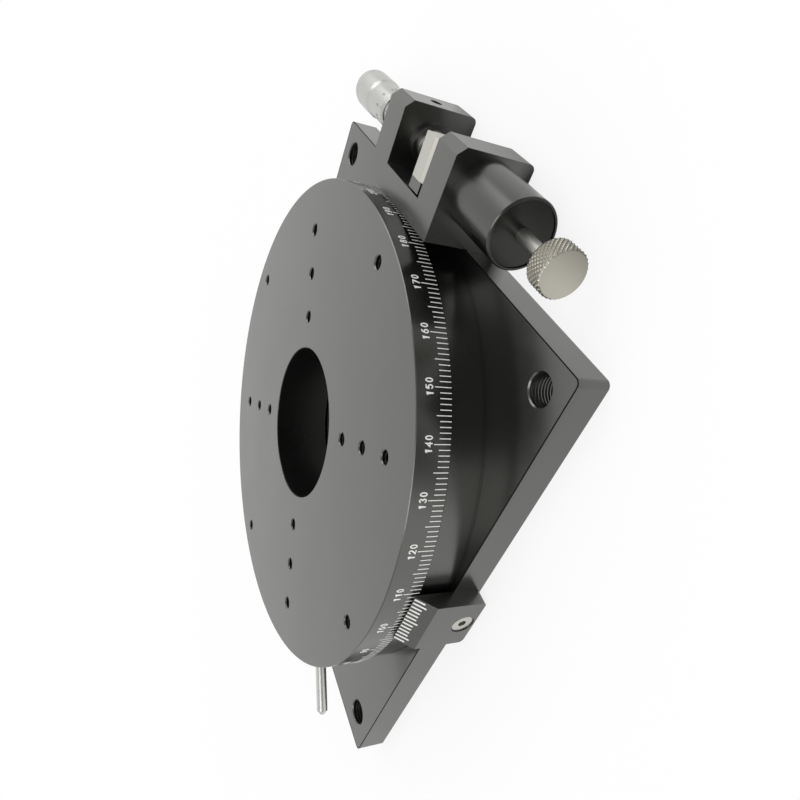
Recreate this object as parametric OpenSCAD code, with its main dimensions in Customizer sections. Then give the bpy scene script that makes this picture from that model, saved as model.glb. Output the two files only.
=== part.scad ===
// Rotation stage: a 140 mm table on a square base, with free coarse rotation about Z
// and a fine drive: a micrometer pushes a lever and a spring plunger pushes it back.
// Millimetres. Z = 0 is the underside of the base and the table turns about the Z axis.
// The drive bracket is on the +X side and the vernier block on the -Y side.

/* [Table] */
// Diameter of the table
table_d = 140; // [130:1:150]
// Height of the table's top face above the underside of the base
total_h = 26; // [25.8:0.1:30]
// Thickness of the table plate
plate_t = 3.5; // [3:0.1:3.8]
// Height of the graduated rim
rim_h = 9; // [8:0.1:9.2]
// Radial thickness of the graduated rim
rim_wall = 11; // [9:0.5:11.4]
// Diameter of the central aperture
aperture_d = 45; // [40:0.5:46]
// Chamfer on the table's top and bottom edges
table_chamfer = 0.2; // [0.1:0.1:0.6]
// Chamfer on the aperture's upper edge
aperture_chamfer = 0.1; // [0.05:0.05:0.4]
// Radial step of the spigot's shoulder above the bearing
shoulder_w = 2; // [1.5:0.1:2.5]

/* [Table holes] */
// Diameter of the tapped holes
tap_d = 3.4; // [3:0.1:4.2]
// Depth of the countersunk mouth of every tapped hole
tap_mouth = 0.3; // [0.1:0.1:0.5]
// Number of hole rows round the table
row_count = 4; // [2:1:6]
// Number of holes in a row
row_holes = 3; // [1:1:3]
// Radius of the first hole in a row
row_r = 31.5; // [30:0.5:33]
// Spacing of the holes in a row
row_pitch = 12.5; // [11:0.5:12.5]
// Angle of the first row at rest
row_angle = -57.6; // [-90:0.1:0]
// Distance of the outer holes from the rim's face
outer_hole_inset = 7.5; // [6:0.5:8]
// Depth of the outer holes
outer_hole_depth = 7; // [4:0.5:8]

/* [Base] */
// Distance by which each side of the base stands out beyond the table
base_margin = 0; // [0:0.1:1.5]
// Thickness of the base
base_t = 8; // [8:0.1:8.2]
// Corner radius of the base
base_corner_r = 1.5; // [0.5:0.1:4]
// Distance of the mounting holes from the base's sides
mount_inset = 8; // [7.5:0.5:10]
// Diameter of the mounting holes
mount_d = 7; // [5:0.1:8]
// Depth of the countersunk mouth of the mounting holes
mount_mouth = 0.3; // [0.1:0.1:0.5]
// Radial gap by which the bores of the base, the hub and the inner retainer are wider than the aperture
bore_gap = 0.5; // [0.1:0.1:0.9]

/* [Stationary hub] */
// Radial step from the journal to the edge of the hub's flange
flange_w = 4; // [3:0.5:5]
// Thickness of the hub's flange
flange_t = 3; // [2.5:0.1:4]
// Radial step from the bearing seat's outside to the journal that carries the clamp ring
journal_wall = 4; // [3.5:0.1:4.6]
// Height of the journal above the base
journal_h = 7.5; // [7.2:0.1:7.8]
// Radial wall of the bearing seat
hub_wall = 6; // [5.5:0.1:6.4]
// Number of screws that hold each ring or the hub
ring_screws = 4; // [3:1:6]
// Distance of the hub screws from the bearing seat's outside
hub_screw_inset = 1; // [0.5:0.1:1.4]

/* [Bearing] */
// Radial wall of the table's spigot, between the aperture and the bearing
spigot_wall = 5; // [4.6:0.1:5.5]
// Radial section of the bearing, from its bore to its outside
bearing_section = 8.5; // [8.2:0.1:9]
// Height of the bearing's lower face above the base
bearing_lift = 2.5; // [2.4:0.1:2.6]
// Diameter of a ball
ball_d = 4.5; // [4:0.1:4.8]
// Number of balls
ball_count = 18; // [12:1:20]
// Radial depth of the ball groove in each race
groove_depth = 0.9; // [0.6:0.1:1]
// Gap between the cage and each race
cage_gap = 0.5; // [0.3:0.05:0.6]
// Radial width of the lands that hold the outer race
race_land_w = 1.8; // [1.4:0.1:2]
// Axial width of the cage
cage_w = 5.6; // [5:0.1:7]
// Thickness of the three retaining rings
retainer_t = 1.5; // [1.3:0.1:1.7]
// Gap between the outer retainer and the table's plate
plate_gap = 1.5; // [1:0.1:1.8]

/* [Clamp ring] */
// Distance by which the clamp ring's side stands in from the rim's face
clamp_inset = 1; // [0.5:0.1:3]
// Gap under the clamp ring
clamp_gap = 0.6; // [0.55:0.05:0.7]
// Gap between the clamp ring and the table's rim
rim_gap = 0.3; // [0.25:0.05:0.4]
// Radial gap between the rim's inside and the upstanding collar that the lock screw grips
collar_run = 0.7; // [0.6:0.1:1.2]
// Radial thickness of the collar
collar_wall = 3.8; // [3:0.1:4.5]
// Gap above the collar
collar_gap = 0.3; // [0.3:0.05:0.6]
// Radial thickness of the slide bush
bush_wall = 1.5; // [1.2:0.1:1.8]
// Radial step from the journal to the outside of the keeper ring
keeper_w = 3; // [2.5:0.1:3.8]
// Gap between the slide bush and the keeper ring
keeper_gap = 0.2; // [0.1:0.05:0.3]
// Radial step from the slide bush to the inside of the thrust washer
washer_inset = 4.7; // [4.6:0.1:5.5]
// Radial width of the thrust washer
washer_w = 3.75; // [3:0.25:5]
// Thickness of the thrust washer
washer_t = 0.5; // [0.4:0.05:0.5]

/* [Lock screw] */
// Diameter of the lock screw
lock_d = 3; // [2.5:0.1:3.2]
// Length of the lock screw outside the rim's face
lock_out = 14.1; // [8:0.1:22]
// Distance of the lock screw's axis below the table's top face
lock_drop = 4; // [3.6:0.1:4.2]
// Direction of the lock screw at rest
lock_angle = -130.5; // [-145:0.5:-115]
// Length of the brass pad ahead of the lock screw
pad_l = 1.6; // [1.2:0.1:2]

/* [Drive bracket] */
// Width of the bracket along Y
bracket_w = 40; // [38:0.5:42]
// Height of the bracket
bracket_h = 20; // [19.5:0.1:21]
// Reach of the bracket from the base
bracket_reach = 22.2; // [21.5:0.1:24]
// Thickness of the back wall
bracket_wall = 6.5; // [6.3:0.1:6.7]
// Width of the notch between the arms
notch_w = 21; // [20.6:0.1:21.6]
// Chamfer along the top outer edge
bracket_chamfer = 2; // [1:0.1:3]
// Radius of the bottom outer edge
bracket_round = 1.5; // [0.5:0.1:2]
// Relief that clears the turning rim
bracket_relief = 0.5; // [0.4:0.1:1]
// Width of the window that the drive arm passes through
window_w = 16; // [15.9:0.1:16.4]
// Offset of the window's centre along Y
window_y = -2.1; // [-2.2:0.1:-2]
// Top of the window above the underside of the base
window_top = 15; // [14.5:0.1:16]
// Spacing of the bracket screws
bracket_screw_pitch = 13; // [12:0.5:13.5]

/* [Drive lever] */
// Distance of the drive axis from the base's side
drive_out = 13.2; // [12.8:0.1:13.7]
// Height of the drive axis
drive_z = 10; // [9.8:0.1:10.5]
// Place of the contact plate's -Y face at rest
lever_y = -9.6; // [-9.8:0.1:-9.5]
// Thickness of the contact plate and the drive arm
lever_t = 5.3; // [5:0.1:5.5]
// Height of the arm's bar
arm_h = 4.9; // [4.5:0.1:5.2]
// Length of the arm inside the clamp ring
arm_grip = 13; // [12:0.5:13.5]
// Distance of the first arm screw from the arm's inner end
arm_screw_inset = 3.5; // [2.5:0.1:4]
// Spacing of the two arm screws
arm_screw_pitch = 6; // [4.5:0.1:6.5]
// Gap between the bracket's back wall and the arm's riser
riser_gap = 0.5; // [0.5:0.1:0.6]
// Thickness of the arm's riser
riser_t = 2.6; // [2.2:0.1:3]
// Length of the contact plate along X
contact_l = 10.3; // [9.5:0.1:12]
// Bottom of the contact plate
contact_z = 4; // [2:0.5:6]
// Chamfer on the contact plate's upper -Y edge
contact_chamfer = 0.9; // [0.4:0.1:1.2]

/* [Micrometer] */
// Diameter of the clamped stem
stem_d = 8; // [7:0.1:8.4]
// Length of the stem that stands out of the bracket
stem_out = 1.9; // [1.5:0.1:2.2]
// Diameter of the stem nut
nut_d = 11; // [10:0.1:11.6]
// Thickness of the stem nut
nut_t = 1.2; // [1:0.1:1.4]
// Diameter of the sleeve
sleeve_d = 8.6; // [8:0.1:8.8]
// Length of the sleeve outside the bracket
sleeve_l = 30; // [28:0.5:30.3]
// Diameter of the sleeve's flange
sleeve_flange_d = 10; // [9:0.1:11]
// Thickness of the sleeve's flange
sleeve_flange_t = 1.5; // [1:0.1:2]
// Diameter of the spindle
spindle_d = 5; // [4:0.1:5.5]
// Diameter of the spindle's end that the thimble turns on
spindle_end_d = 3.6; // [3:0.1:4]
// Diameter of the hard tip on the spindle
tip_d = 3.6; // [3:0.1:4]
// Length of the hard tip
tip_l = 1.5; // [1:0.1:2]
// Place of the thimble's near end
thimble_y = 34.3; // [33:0.1:36]
// Place of the step between the thimble's barrel and its grip
thimble_step_y = 46; // [44:0.5:48]
// Place of the thimble's far end
thimble_end_y = 57.7; // [56.5:0.1:59]
// Diameter of the thimble's barrel
thimble_d = 10.2; // [9.8:0.1:10.6]
// Diameter of the thimble's grip
grip_d = 11; // [10.8:0.1:12]
// Length of the graduated bevel
bevel_l = 3; // [2:0.1:4]
// Length of the rounded cap
cap_l = 3.8; // [3.6:0.1:4.5]
// Length of the cap's straight part
cap_straight = 1; // [0.5:0.1:1.6]
// Thickness of the wall that carries the spindle's end
thimble_wall = 2.9; // [2:0.1:3]

/* [Plunger] */
// Diameter of the plunger housing
housing_d = 16; // [15:0.5:18]
// Length of the housing outside the bracket
housing_l = 18.8; // [18:0.1:20]
// Wall of the housing round its end cap
housing_lip = 0.6; // [0.4:0.1:0.8]
// Chamfer on the housing's outer edge
housing_chamfer = 0.25; // [0.1:0.05:0.4]
// Bore of the housing
housing_bore = 11.2; // [10.5:0.1:11.6]
// Diameter of the spigot in the bracket's arm
housing_spigot_d = 13.2; // [12.8:0.1:13.6]
// Depth of the spigot in the bracket's arm
housing_spigot_l = 4; // [3:0.1:4.5]
// Depth of the end cap's face inside the housing's end
cap_recess = 0.35; // [0.2:0.05:0.6]
// Thickness of the end cap
housing_cap_t = 2; // [1.8:0.1:2.3]
// Length of the end cap's spigot
cap_spigot_l = 1.1; // [0.8:0.1:1.6]
// Radial gap between the pin and the end cap
cap_run = 0.35; // [0.1:0.05:0.5]
// Diameter of the plunger pin
pin_d = 3; // [2.5:0.1:3.5]
// Diameter of the pin's collar
pin_collar_d = 10.4; // [9.8:0.1:10.6]
// Thickness of the pin's collar
pin_collar_t = 1.5; // [1:0.1:2]
// Place of the collar's inner face
pin_collar_y = -29.5; // [-30:0.1:-29]
// Diameter of the knurled knob
knob_d = 10.8; // [10:0.1:12]
// Length of the knob
knob_l = 5; // [4:0.1:6]
// Chamfer on the knob's edges
knob_chamfer = 0.4; // [0.2:0.1:0.8]
// Gap between the end cap and the knob at rest
knob_gap = 11.2; // [11.2:0.1:13]
// Mean diameter of the spring
spring_d = 8.4; // [8:0.1:9]
// Wire diameter of the spring
spring_wire = 0.9; // [0.6:0.1:1]
// Number of turns of the spring
spring_turns = 4; // [3:0.5:5]

/* [Vernier] */
// Width of the vernier block
vernier_w = 16; // [14:0.5:18]
// Thickness of the vernier block
vernier_t = 4.2; // [3.5:0.1:4.5]
// Bottom of the vernier block
vernier_z = 0.6; // [0.4:0.1:1]
// Height of the graduated bevel
vernier_bevel_h = 4.4; // [3:0.1:5]
// Height by which the vernier covers the rim
vernier_lap = 1.6; // [1:0.1:2.5]
// Width of the vernier's top edge
vernier_edge = 0.2; // [0.2:0.1:0.6]
// Gap between the vernier and the rim
vernier_gap = 0.35; // [0.3:0.05:0.5]
// Radius of the lower corners of the block
vernier_round = 1.2; // [0.5:0.1:2]
// Depth of the vernier screw's head below the block's face
vernier_sink = 0.3; // [0.1:0.05:0.6]
// Width of the ring-shaped gap around the sunk head
vernier_ring_w = 0.3; // [0.1:0.05:0.5]

/* [Clearances and screws] */
// Gap between pieces that are pressed, screwed or clamped together
seat_gap = 0.02; // [0.01:0.01:0.04]
// Radial gap of a running fit
run_gap = 0.05; // [0.02:0.01:0.08]
// Gap between a tip and the face that it pushes
touch_gap = 0.3; // [0.25:0.05:0.4]
// Shank diameter of the ring screws
m2_d = 2; // [1.6:0.1:2.2]
// Shank diameter of the hub, vernier and set screws
m3_d = 3; // [2.5:0.1:3.2]
// Shank diameter of the bracket screws
m4_d = 4; // [3.5:0.1:4.2]
// Shank diameter of the contact plate's screw
contact_screw_d = 2.5; // [2:0.1:2.6]
// Diameter of the contact plate's dowel
dowel_d = 2; // [1.5:0.1:2.4]
// Length of the dowel inside the contact plate
dowel_l = 5; // [3:0.5:8]
// Distance of the dowel's axis below the contact plate's top
dowel_drop = 3; // [2.5:0.1:4]
// Recess of the set screw below the arm's end face
set_recess = 1.2; // [0.8:0.1:2]
// Length of the bracket screws in the base
bracket_screw_grip = 8; // [6:0.5:12]
// Length of the ring screws below the retaining rings
ring_screw_grip = 3; // [2.5:0.1:3.5]
// Length of the arm screws above the arm
arm_screw_grip = 2.5; // [1.5:0.1:3]
// Length of the vernier's screw in the base
vernier_screw_grip = 6; // [4:0.5:12]
// Length of the contact plate's screw beyond the riser
contact_screw_grip = 5; // [3:0.5:8]
// Diameter of a cap screw's head, as a share of its shank
head_share = 1.75; // [1.6:0.05:1.8]
// Diameter of a countersunk head, as a share of its shank
csk_head_share = 1.8; // [1.7:0.05:2]
// Diameter of the socket in a screw, as a share of its shank
socket_share = 0.75; // [0.6:0.05:0.9]

/* [Hidden] */
$fn = 96;
eps = 0.1;
table_r = table_d / 2;
plate_z = total_h - plate_t;
rim_z = total_h - rim_h;
vernier_top = rim_z + vernier_lap;
rim_inner_r = table_r - rim_wall;
spindle_end_r = spindle_end_d / 2;
dowel_r = dowel_d / 2;
bearing_id = aperture_d + 2 * spigot_wall;
bearing_od = bearing_id + 2 * bearing_section;
spigot_shoulder_d = bearing_id + 2 * shoulder_w;
base_bore_d = aperture_d + 2 * bore_gap;
hub_d = bearing_od + 2 * hub_wall;
journal_d = hub_d + 2 * journal_wall;
flange_d = journal_d + 2 * flange_w;
keeper_d = journal_d + 2 * keeper_w;
hub_screw_r = hub_d / 2 - hub_screw_inset;
outer_hole_r = table_r - outer_hole_inset;
clamp_d = table_d - 2 * clamp_inset;
collar_d = 2 * (rim_inner_r - collar_run);
flange_z = base_t - flange_t;
journal_top = base_t + journal_h;
bearing_z = base_t + bearing_lift;
bearing_top = plate_z - plate_gap - retainer_t;
spigot_z = bearing_z;
race_mid_r = (bearing_id + bearing_od) / 4;
race_gap_r = ball_d / 2 - groove_depth;
groove_r = ball_d / 2 + run_gap;
bush_r = journal_d / 2 + run_gap + bush_wall;
ring_z = base_t + clamp_gap;
ring_top = rim_z - rim_gap;
collar_top = plate_z - collar_gap;
washer_id = 2 * (bush_r + washer_inset);
washer_od = washer_id + 2 * washer_w;
base_side = table_d + 2 * base_margin;
base_x = base_side / 2;
mount_pitch = base_side - 2 * mount_inset;
notch_x = base_x + bracket_wall;
arm_end_x = base_x + bracket_reach;
arm_y = bracket_w / 2;
arm_start = clamp_d / 2 - arm_grip;
drive_x = base_x + drive_out;
lever_mid = lever_y + lever_t / 2;
lever_face = lever_y + lever_t;
riser_x = notch_x + riser_gap;
contact_x = riser_x + riser_t;
contact_end = contact_x + contact_l;
tip_y = lever_face + touch_gap;
wall_y = thimble_end_y - cap_l - thimble_wall;
housing_end = -arm_y - housing_l;
cap_end = housing_end + cap_recess;
cap_inner = cap_end + housing_cap_t + cap_spigot_l;
knob_y = housing_end - knob_gap;
pin_tip_y = lever_y - touch_gap;
lock_z = total_h - lock_drop;
lock_start_r = collar_d / 2 + touch_gap + pad_l;
lock_end_r = table_r + lock_out;
screw_ring_r = (bearing_od + hub_d) / 4;
keeper_screw_r = journal_d / 2 - 0.8 * m2_d;
inner_screw_r = (base_bore_d + bearing_id) / 4;
screw_angle = 45;

// A cylinder of radius r from z0 to z1.
module disc(r, z0, z1) {
  translate([0, 0, z0])
    cylinder(r = r, h = z1 - z0);
}

// A ring of outer radius ro and inner radius ri from z0 to z1.
module ring(ro, ri, z0, z1) {
  difference() {
    disc(ro, z0, z1);
    disc(ri, z0 - eps, z1 + eps);
  }
}

// A cone frustum from radius r0 at z0 to radius r1 at z1.
module frustum(r0, r1, z0, z1) {
  translate([0, 0, z0])
    cylinder(r1 = r0, r2 = r1, h = z1 - z0);
}

// Copies of the children, turned about Z, at radius r.
module around(count, r, start = 0) {
  for (i = [0 : count - 1])
    rotate([0, 0, start + i * 360 / count])
      translate([r, 0, 0])
        children();
}

// Places children that are drawn along +Z on the drive axis, pointing along +Y.
module on_drive(y = 0) {
  translate([drive_x, y, drive_z])
    rotate([-90, 0, 0])
      children();
}

// Places children that are drawn along +Z so that they point along +X.
module along_x(x, y, z) {
  translate([x, y, z])
    rotate([0, 90, 0])
      children();
}

// A hexagonal socket of depth h, cut down from z = 0.
module socket(shank_d, h) {
  translate([0, 0, -h])
    cylinder(d = shank_d * socket_share, h = h + eps, $fn = 6);
}

// A countersunk screw: the head's face is at z = 0 and the shank points down.
module csk_screw(d, l) {
  head_r = d * csk_head_share / 2;
  difference() {
    union() {
      frustum(d / 2, head_r, -head_r + d / 2, 0);
      disc(d / 2, -l, -head_r + d / 2 + seat_gap);
    }
    socket(d, d / 2);
  }
}

// The hole for a countersunk screw, seat_gap larger all round.
module csk_hole(d, l) {
  head_r = d * csk_head_share / 2;
  frustum(d / 2 + seat_gap, head_r + seat_gap + eps, -head_r + d / 2, eps);
  disc(d / 2 + seat_gap, -l, 0);
}

// A socket cap screw: the head's face is at z = 0 and the shank points down.
module cap_screw(d, l) {
  difference() {
    union() {
      disc(d * head_share / 2, -d, 0);
      disc(d / 2, -l, -d + seat_gap);
    }
    socket(d, d * 0.6);
  }
}

// The counterbored hole for a cap screw, open above by mouth.
module cap_hole(d, l, mouth = 1) {
  disc(d * head_share / 2 + seat_gap, -d, mouth);
  disc(d / 2 + seat_gap, -l, 0);
}

// The square outline of the base with round corners.
module base_outline() {
  inner = base_side - 2 * base_corner_r;
  square([base_side, inner], center = true);
  square([inner, base_side], center = true);
  for (sx = [-1, 1])
    for (sy = [-1, 1])
      translate([sx * inner / 2, sy * inner / 2])
        circle(r = base_corner_r, $fn = 48);
}

module mount_hole() {
  wide_r = mount_d / 2 + mount_mouth + eps;
  disc(mount_d / 2, 0, base_t);
  frustum(mount_d / 2, wide_r, base_t - mount_mouth, base_t + eps);
  frustum(wide_r, mount_d / 2, -eps, mount_mouth);
}

module base_plate() {
  color("dimgray")
    difference() {
      linear_extrude(height = base_t)
        base_outline();
      disc(base_bore_d / 2, -eps, base_t + eps);
      disc(flange_d / 2 + seat_gap, flange_z, base_t + eps);
      for (sx = [-1, 1])
        for (sy = [-1, 1])
          translate([sx * mount_pitch / 2, sy * mount_pitch / 2, 0])
            mount_hole();
      around(ring_screws, hub_screw_r, screw_angle)
        rotate([180, 0, 0])
          csk_hole(m3_d, hub_screw_l());
      bracket_screw_places()
        cap_hole(m4_d, bracket_screw_l());
      vernier_screw_place()
        csk_hole(m3_d, vernier_screw_l());
    }
}

function hub_screw_l() = base_t + journal_h / 2;

module hub_screws() {
  color("silver")
    around(ring_screws, hub_screw_r, screw_angle)
      rotate([180, 0, 0])
        csk_screw(m3_d, hub_screw_l() - seat_gap);
}

module stator_hub() {
  color("dimgray")
    difference() {
      union() {
        disc(flange_d / 2, flange_z, base_t);
        disc(journal_d / 2, flange_z, journal_top);
        disc(hub_d / 2, flange_z, bearing_top);
      }
      disc(base_bore_d / 2, flange_z - eps, bearing_top + eps);
      disc(bearing_od / 2 - race_land_w, base_t, bearing_top + eps);
      disc(bearing_od / 2 + seat_gap, bearing_z, bearing_top + eps);
      around(ring_screws, hub_screw_r, screw_angle)
        rotate([180, 0, 0])
          csk_hole(m3_d, hub_screw_l());
      around(ring_screws, screw_ring_r)
        translate([0, 0, bearing_top + retainer_t])
          csk_hole(m2_d, ring_screw_l());
      around(ring_screws, keeper_screw_r)
        translate([0, 0, journal_top + retainer_t])
          csk_hole(m2_d, ring_screw_l());
    }
}

function ring_screw_l() = retainer_t + ring_screw_grip;

module ring_screw_set(r, z) {
  around(ring_screws, r)
    translate([0, 0, z])
      csk_screw(m2_d, ring_screw_l() - seat_gap);
}

module bearing_outer_race() {
  color("silver")
    difference() {
      ring(bearing_od / 2, race_mid_r + race_gap_r, bearing_z, bearing_top);
      ball_groove();
    }
}

module bearing_inner_race() {
  color("silver")
    difference() {
      ring(race_mid_r - race_gap_r, bearing_id / 2, bearing_z, bearing_top);
      ball_groove();
    }
}

// The torus that cuts the ball groove in both races.
module ball_groove() {
  translate([0, 0, (bearing_z + bearing_top) / 2])
    rotate_extrude()
      translate([race_mid_r, 0])
        circle(r = groove_r, $fn = 48);
}

module bearing_balls() {
  color("lightgray")
    around(ball_count, race_mid_r)
      translate([0, 0, (bearing_z + bearing_top) / 2])
        sphere(d = ball_d, $fn = 32);
}

module bearing_cage() {
  cage_half = race_gap_r - cage_gap;
  cage_z = (bearing_z + bearing_top) / 2;
  color("peru")
    difference() {
      ring(race_mid_r + cage_half, race_mid_r - cage_half,
           cage_z - cage_w / 2, cage_z + cage_w / 2);
      around(ball_count, race_mid_r)
        along_x(0, 0, cage_z)
          disc(groove_r + run_gap, -groove_r, groove_r);
    }
}

module outer_retainer() {
  color("dimgray")
    difference() {
      ring(hub_d / 2, bearing_od / 2 - race_land_w, bearing_top, bearing_top + retainer_t);
      around(ring_screws, screw_ring_r)
        translate([0, 0, bearing_top + retainer_t])
          csk_hole(m2_d, ring_screw_l());
    }
}

module outer_retainer_screws() {
  color("silver")
    ring_screw_set(screw_ring_r, bearing_top + retainer_t);
}

module keeper_ring() {
  color("dimgray")
    difference() {
      ring(keeper_d / 2, hub_d / 2 + seat_gap, journal_top, journal_top + retainer_t);
      around(ring_screws, keeper_screw_r)
        translate([0, 0, journal_top + retainer_t])
          csk_hole(m2_d, ring_screw_l());
    }
}

module keeper_screws() {
  color("silver")
    ring_screw_set(keeper_screw_r, journal_top + retainer_t);
}

module thrust_washer() {
  color("ivory")
    ring(washer_od / 2, washer_id / 2, base_t, base_t + washer_t);
}

// The bracket's side outline in X and Z, from the base to the arms' ends.
module bracket_outline() {
  r = bracket_round;
  polygon([
    [base_x, 0],
    [arm_end_x - r, 0],
    [arm_end_x, r],
    [arm_end_x, bracket_h - bracket_chamfer],
    [arm_end_x - bracket_chamfer, bracket_h],
    [base_x + bracket_relief, bracket_h],
    [base_x + bracket_relief, base_t],
    [base_x, base_t]
  ]);
  translate([arm_end_x - r, r])
    circle(r = r, $fn = 48);
}

module drive_bracket() {
  color("dimgray")
    difference() {
      translate([0, arm_y, 0])
        rotate([90, 0, 0])
          linear_extrude(height = bracket_w)
            bracket_outline();
      translate([notch_x, -notch_w / 2, -eps])
        cube([bracket_reach, notch_w, bracket_h + 2 * eps]);
      translate([base_x - eps, window_y - window_w / 2, base_t])
        cube([bracket_wall + 2 * eps, window_w, window_top - base_t]);
      on_drive(notch_w / 2 - eps)
        disc(stem_d / 2 + seat_gap, 0, arm_y - notch_w / 2 + 2 * eps);
      on_drive(-arm_y - eps)
        disc(housing_spigot_d / 2 + seat_gap, 0, housing_spigot_l + eps);
      on_drive(-arm_y)
        disc(pin_d / 2 + run_gap, 0, arm_y);
      along_x(drive_x, (arm_y + notch_w / 2) / 2, drive_z)
        disc(m3_d / 2 + seat_gap, 0, bracket_reach);
      bracket_screw_places()
        cap_hole(m4_d, bracket_screw_l());
    }
}

function bracket_screw_l() = bracket_wall + bracket_screw_grip;

// Puts children at each bracket screw, drawn along +Z, with the head's face in the notch.
module bracket_screw_places() {
  for (s = [-1, 1])
    along_x(notch_x, s * bracket_screw_pitch / 2, base_t / 2)
      children();
}

module bracket_screws() {
  color("silver")
    bracket_screw_places()
      cap_screw(m4_d, bracket_screw_l() - seat_gap);
}

module micrometer_sleeve() {
  color("silver")
    difference() {
      union() {
        on_drive(notch_w / 2 - stem_out)
          disc(stem_d / 2, 0, arm_y - notch_w / 2 + stem_out + eps);
        on_drive(arm_y)
          disc(sleeve_flange_d / 2, 0, sleeve_flange_t);
        on_drive(arm_y)
          disc(sleeve_d / 2, 0, sleeve_l);
      }
      on_drive(-arm_y)
        disc(spindle_d / 2 + run_gap, 0, 2 * arm_y + sleeve_l + eps);
    }
}

module micrometer_nut() {
  color("dimgray")
    on_drive(notch_w / 2 - nut_t)
      ring(nut_d / 2, stem_d / 2 + seat_gap, 0, nut_t);
}

module micrometer_set_screw() {
  set_start = stem_d / 2 + seat_gap;
  set_l = arm_end_x - drive_x - set_start - set_recess;
  color("silver")
    along_x(arm_end_x - set_recess, (arm_y + notch_w / 2) / 2, drive_z)
      difference() {
        disc(m3_d / 2, -set_l, 0);
        socket(m3_d, m3_d / 2);
      }
}

module micrometer_spindle() {
  end_y = thimble_end_y - cap_l - touch_gap;
  color("silver")
    difference() {
      union() {
        on_drive(tip_y + tip_l)
          disc(spindle_d / 2, 0, wall_y - touch_gap - tip_y - tip_l);
        on_drive(wall_y - touch_gap)
          disc(spindle_end_r, 0, end_y - wall_y + touch_gap);
      }
      on_drive(tip_y)
        disc(tip_d / 4 + seat_gap, 0, 2 * tip_l);
    }
}

// The hard tip: a peg in the spindle and a domed nose.
module spindle_tip() {
  dome_r = tip_d * 0.8;
  color("gray")
    on_drive(tip_y) {
      disc(tip_d / 4, tip_l - eps, 2 * tip_l);
      intersection() {
        disc(tip_d / 2, 0, tip_l);
        translate([0, 0, dome_r])
          sphere(r = dome_r, $fn = 64);
      }
    }
}

module micrometer_thimble() {
  bore_r = sleeve_d / 2 + run_gap;
  l = thimble_end_y - cap_l - thimble_y;
  color("gainsboro")
    on_drive(thimble_y)
      difference() {
        union() {
          frustum(bore_r + touch_gap, thimble_d / 2, 0, bevel_l);
          disc(thimble_d / 2, bevel_l, thimble_step_y - thimble_y);
          disc(grip_d / 2, thimble_step_y - thimble_y, l);
        }
        disc(bore_r, -eps, l - thimble_wall);
        disc(spindle_end_r + run_gap, 0, l + eps);
      }
}

// The rounded end: a cylinder blended into a dome.
module thimble_cap() {
  r = grip_d / 2;
  round_r = cap_l - cap_straight;
  color("gainsboro")
    on_drive(thimble_end_y - cap_l)
      rotate_extrude()
        union() {
          square([r, cap_l - round_r]);
          square([r - round_r, cap_l]);
          intersection() {
            translate([r - round_r, cap_l - round_r])
              circle(r = round_r, $fn = 64);
            square([r, cap_l]);
          }
        }
}

module plunger_housing() {
  color("dimgray")
    on_drive(housing_end)
      difference() {
        union() {
          frustum(housing_d / 2 - housing_chamfer, housing_d / 2, 0, housing_chamfer);
          disc(housing_d / 2, housing_chamfer, housing_l);
          disc(housing_spigot_d / 2, housing_chamfer, housing_l + housing_spigot_l - seat_gap);
        }
        disc(housing_bore / 2, -eps, housing_l + housing_spigot_l + eps);
        disc(housing_d / 2 - housing_lip, -eps, cap_recess + housing_cap_t);
      }
}

module plunger_cap() {
  color("dimgray")
    on_drive(cap_end)
      difference() {
        union() {
          disc(housing_d / 2 - housing_lip - seat_gap, 0, housing_cap_t - seat_gap);
          disc(housing_bore / 2 - seat_gap, 0, housing_cap_t + cap_spigot_l);
        }
        disc(pin_d / 2 + cap_run, -eps, housing_cap_t + cap_spigot_l + eps);
      }
}

module plunger_pin() {
  shank_end = knob_y - knob_l / 2;
  color("silver") {
    on_drive(shank_end)
      disc(pin_d / 2, 0, pin_tip_y - pin_d / 2 - shank_end);
    on_drive(pin_collar_y)
      disc(pin_collar_d / 2, 0, pin_collar_t);
    on_drive(pin_tip_y - pin_d / 2)
      sphere(d = pin_d, $fn = 64);
  }
}

module plunger_knob() {
  color("silver")
    on_drive(knob_y - knob_l)
      difference() {
        union() {
          frustum(knob_d / 2 - knob_chamfer, knob_d / 2, 0, knob_chamfer);
          disc(knob_d / 2, knob_chamfer, knob_l - knob_chamfer);
          frustum(knob_d / 2, knob_d / 2 - knob_chamfer, knob_l - knob_chamfer, knob_l);
        }
        disc(pin_d / 2 + seat_gap, knob_l / 2 - seat_gap, knob_l + eps);
      }
}

// One ring of the spring's wire at angle a along the coil.
function spring_ring(a, pitch, sides) = [
  for (j = [0 : sides - 1])
    let (b = 360 * j / sides, r = spring_d / 2 + spring_wire / 2 * cos(b))
      [r * cos(a), r * sin(a), a / 360 * pitch + spring_wire / 2 * sin(b)]
];

module plunger_spring() {
  sides = 8;
  steps = 20 * spring_turns;
  free = pin_collar_y - cap_inner - 2 * seat_gap - spring_wire;
  pitch = free / spring_turns;
  points = [for (i = [0 : steps]) each spring_ring(360 * spring_turns * i / steps, pitch, sides)];
  walls = [
    for (i = [0 : steps - 1])
      for (j = [0 : sides - 1])
        [i * sides + j, i * sides + (j + 1) % sides,
         (i + 1) * sides + (j + 1) % sides, (i + 1) * sides + j]
  ];
  start_cap = [for (j = [0 : sides - 1]) sides - 1 - j];
  end_cap = [for (j = [0 : sides - 1]) steps * sides + j];
  color("silver")
    on_drive(cap_inner + seat_gap + spring_wire / 2)
      polyhedron(points = points, faces = concat(walls, [start_cap, end_cap]), convexity = 10);
}

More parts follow.
